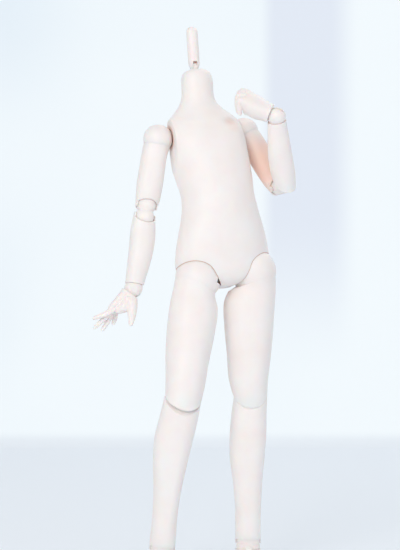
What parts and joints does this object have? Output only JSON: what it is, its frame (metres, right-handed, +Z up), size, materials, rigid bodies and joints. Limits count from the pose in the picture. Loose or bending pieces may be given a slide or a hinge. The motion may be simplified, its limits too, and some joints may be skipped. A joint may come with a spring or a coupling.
{
  "type": "jointed doll body",
  "caption": "Slim jointed doll body without a head, with a neck peg, ball shoulders and hips, double-pinned elbows and knees, and posable wrists and ankles.",
  "frame": {"origin": "centre of the bounding box on the floor, between the feet", "axes": "+Z up, -Y the way the doll faces, +X towards its left arm"},
  "size_m": [0.1522, 0.0998, 0.3932],
  "materials": {
    "body": "satin pale pinkish white plastic",
    "inner": "matte plastic, inside the joints",
    "pin": "bright drawn steel pin"
  },
  "bodies": {
    "torso": {"torso_shell": "body"},
    "neck": {"neck_knob": "body"},
    "peg": {"head_peg": "body", "neck_pin": "pin"},
    "right_shoulder_hub": {"shoulder_hub_right": "inner"},
    "right_shoulder_ball": {"shoulder_ball_right": "body", "shoulder_pin_right": "pin"},
    "right_upper_arm": {"upper_arm_right": "body"},
    "right_elbow_link": {"elbow_link_right": "body", "elbow_upper_pin_right": "pin"},
    "right_forearm": {"forearm_right": "body", "elbow_lower_pin_right": "pin"},
    "right_wrist": {"wrist_ball_right": "body", "wrist_pin_right": "pin"},
    "right_hand": {"hand_right": "body"},
    "left_shoulder_hub": {"shoulder_hub_left": "inner"},
    "left_shoulder_ball": {"shoulder_ball_left": "body", "shoulder_pin_left": "pin"},
    "left_upper_arm": {"upper_arm_left": "body"},
    "left_elbow_link": {"elbow_link_left": "body", "elbow_upper_pin_left": "pin"},
    "left_forearm": {"forearm_left": "body", "elbow_lower_pin_left": "pin"},
    "left_wrist": {"wrist_ball_left": "body", "wrist_pin_left": "pin"},
    "left_hand": {"hand_left": "body"},
    "right_hip_hub": {"hip_hub_right": "inner"},
    "right_hip_block": {"hip_block_right": "inner", "hip_pin_right": "pin"},
    "right_thigh": {"thigh_right": "body"},
    "right_knee_link": {"knee_link_right": "body", "knee_upper_pin_right": "pin"},
    "right_shin": {"shin_right": "body", "knee_lower_pin_right": "pin"},
    "right_ankle": {"ankle_link_right": "body", "ankle_upper_pin_right": "pin"},
    "right_foot": {"foot_right": "body", "ankle_lower_pin_right": "pin"},
    "left_hip_hub": {"hip_hub_left": "inner"},
    "left_hip_block": {"hip_block_left": "inner", "hip_pin_left": "pin"},
    "left_thigh": {"thigh_left": "body"},
    "left_knee_link": {"knee_link_left": "body", "knee_upper_pin_left": "pin"},
    "left_shin": {"shin_left": "body", "knee_lower_pin_left": "pin"},
    "left_ankle": {"ankle_link_left": "body", "ankle_upper_pin_left": "pin"},
    "left_foot": {"foot_left": "body", "ankle_lower_pin_left": "pin"}
  },
  "joints": [
    {"name": "neck_turn", "type": "hinge", "parent": "torso", "child": "neck", "pos_m": [0.0024, 0.02727, 0.36039], "axis": [-0.065, 0.1338, 0.9889], "range_deg": [-54, 66]},
    {"name": "neck_nod", "type": "hinge", "parent": "neck", "child": "peg", "pos_m": [0.00226, 0.02756, 0.36256], "axis": [0.9726, 0.2302, 0.0328], "range_deg": [-25, 25]},
    {"name": "right_shoulder_swing", "type": "hinge", "parent": "torso", "child": "right_shoulder_hub", "pos_m": [-0.02403, 0.01653, 0.30979], "axis": [0.9347, 0.3401, 0.1035], "range_deg": [-158, 40]},
    {"name": "right_shoulder_lift", "type": "hinge", "parent": "right_shoulder_hub", "child": "right_shoulder_ball", "pos_m": [-0.02403, 0.01653, 0.30979], "axis": [-0.3411, 0.94, -0.0094], "range_deg": [-8, 66]},
    {"name": "right_arm_turn", "type": "hinge", "parent": "right_shoulder_ball", "child": "right_upper_arm", "pos_m": [-0.02403, 0.01653, 0.30979], "axis": [0.1691, 0.0711, 0.983], "range_deg": [-80, 80]},
    {"name": "right_elbow_upper", "type": "hinge", "parent": "right_upper_arm", "child": "right_elbow_link", "pos_m": [-0.0323, 0.01305, 0.26172], "axis": [0.9247, 0.3337, -0.1832], "range_deg": [-65, 2]},
    {"name": "right_elbow_lower", "type": "hinge", "parent": "right_elbow_link", "child": "right_forearm", "pos_m": [-0.03362, 0.01218, 0.25347], "axis": [0.9247, 0.3337, -0.1832], "range_deg": [-65, 2]},
    {"name": "right_wrist_turn", "type": "hinge", "parent": "right_forearm", "child": "right_wrist", "pos_m": [-0.04124, 0.005, 0.20192], "axis": [0.1449, 0.1365, 0.98], "range_deg": [-90, 90]},
    {"name": "right_wrist_bend", "type": "hinge", "parent": "right_wrist", "child": "right_hand", "pos_m": [-0.04124, 0.005, 0.20192], "axis": [0.1233, 0.9802, -0.1548], "range_deg": [-75, 10]},
    {"name": "left_shoulder_swing", "type": "hinge", "parent": "torso", "child": "left_shoulder_hub", "pos_m": [0.03877, 0.03939, 0.31675], "axis": [0.9347, 0.3401, 0.1035], "range_deg": [-90, 50]},
    {"name": "left_shoulder_lift", "type": "hinge", "parent": "left_shoulder_hub", "child": "left_shoulder_ball", "pos_m": [0.03877, 0.03939, 0.31675], "axis": [-0.2625, 0.8565, -0.4444], "range_deg": [-64, 10]},
    {"name": "left_arm_turn", "type": "hinge", "parent": "left_shoulder_ball", "child": "left_upper_arm", "pos_m": [0.03877, 0.03939, 0.31675], "axis": [-0.5141, 0.2656, 0.8156], "range_deg": [-25, 80]},
    {"name": "left_elbow_upper", "type": "hinge", "parent": "left_upper_arm", "child": "left_elbow_link", "pos_m": [0.06391, 0.0264, 0.27687], "axis": [0.8094, 0.4648, 0.3588], "range_deg": [-0.8, 66]},
    {"name": "left_elbow_lower", "type": "hinge", "parent": "left_elbow_link", "child": "left_forearm", "pos_m": [0.06785, 0.01901, 0.27757], "axis": [0.8094, 0.4648, 0.3588], "range_deg": [-0.8, 66]},
    {"name": "left_wrist_turn", "type": "hinge", "parent": "left_forearm", "child": "left_wrist", "pos_m": [0.06085, -0.00466, 0.32402], "axis": [0.1331, 0.4499, -0.8831], "range_deg": [-90, 90]},
    {"name": "left_wrist_bend", "type": "hinge", "parent": "left_wrist", "child": "left_hand", "pos_m": [0.06085, -0.00466, 0.32402], "axis": [0.2857, 0.8358, 0.4689], "range_deg": [-10, 90]},
    {"name": "right_hip_swing", "type": "hinge", "parent": "torso", "child": "right_hip_hub", "pos_m": [0.00527, 0.00287, 0.20989], "axis": [0.9347, 0.3401, 0.1035], "range_deg": [-60, 22]},
    {"name": "right_hip_lift", "type": "hinge", "parent": "right_hip_hub", "child": "right_hip_block", "pos_m": [0.00527, 0.00287, 0.20989], "axis": [0.3149, -0.9271, 0.2032], "range_deg": [-12, 10]},
    {"name": "right_thigh_turn", "type": "hinge", "parent": "right_hip_block", "child": "right_thigh", "pos_m": [0.00527, 0.00287, 0.20989], "axis": [0.1042, 0.2466, 0.9635], "range_deg": [-15, 30]},
    {"name": "right_knee_upper", "type": "hinge", "parent": "right_thigh", "child": "right_knee_link", "pos_m": [-0.00332, -0.01747, 0.1304], "axis": [0.976, 0.1608, -0.1467], "range_deg": [-6, 38]},
    {"name": "right_knee_lower", "type": "hinge", "parent": "right_knee_link", "child": "right_shin", "pos_m": [-0.00448, -0.01851, 0.12154], "axis": [0.976, 0.1608, -0.1467], "range_deg": [-6, 38]},
    {"name": "right_ankle_bend", "type": "hinge", "parent": "right_shin", "child": "right_ankle", "pos_m": [-0.02014, -0.01651, 0.01955], "axis": [0.976, 0.1608, -0.1467], "range_deg": [-23, 27]},
    {"name": "right_ankle_tilt", "type": "hinge", "parent": "right_ankle", "child": "right_foot", "pos_m": [-0.02086, -0.01663, 0.0146], "axis": [-0.1625, 0.9867, 0.0001], "range_deg": [-6, 22]},
    {"name": "left_hip_swing", "type": "hinge", "parent": "torso", "child": "left_hip_hub", "pos_m": [0.0449, 0.01729, 0.21428], "axis": [0.9347, 0.3401, 0.1035], "range_deg": [-15, 8]},
    {"name": "left_hip_lift", "type": "hinge", "parent": "left_hip_hub", "child": "left_hip_block", "pos_m": [0.0449, 0.01729, 0.21428], "axis": [0.3417, -0.9398, 0.0026], "range_deg": [-2, 33]},
    {"name": "left_thigh_turn", "type": "hinge", "parent": "left_hip_block", "child": "left_thigh", "pos_m": [0.0449, 0.01729, 0.21428], "axis": [0.0187, 0.0096, 0.9998], "range_deg": [-5, 40]},
    {"name": "left_knee_upper", "type": "hinge", "parent": "left_thigh", "child": "left_knee_link", "pos_m": [0.04335, 0.0165, 0.1318], "axis": [0.9994, 0.0285, -0.019], "range_deg": [-0.2, 43]},
    {"name": "left_knee_lower", "type": "hinge", "parent": "left_knee_link", "child": "left_shin", "pos_m": [0.04318, 0.01653, 0.1228], "axis": [0.9994, 0.0285, -0.019], "range_deg": [-0.2, 43]},
    {"name": "left_ankle_bend", "type": "hinge", "parent": "left_shin", "child": "left_ankle", "pos_m": [0.04118, 0.01806, 0.01963], "axis": [0.9994, 0.0285, -0.019], "range_deg": [-23, 27]},
    {"name": "left_ankle_tilt", "type": "hinge", "parent": "left_ankle", "child": "left_foot", "pos_m": [0.04108, 0.01805, 0.01463], "axis": [-0.0285, 0.9996, 0], "range_deg": [-13, 15]}
  ]
}
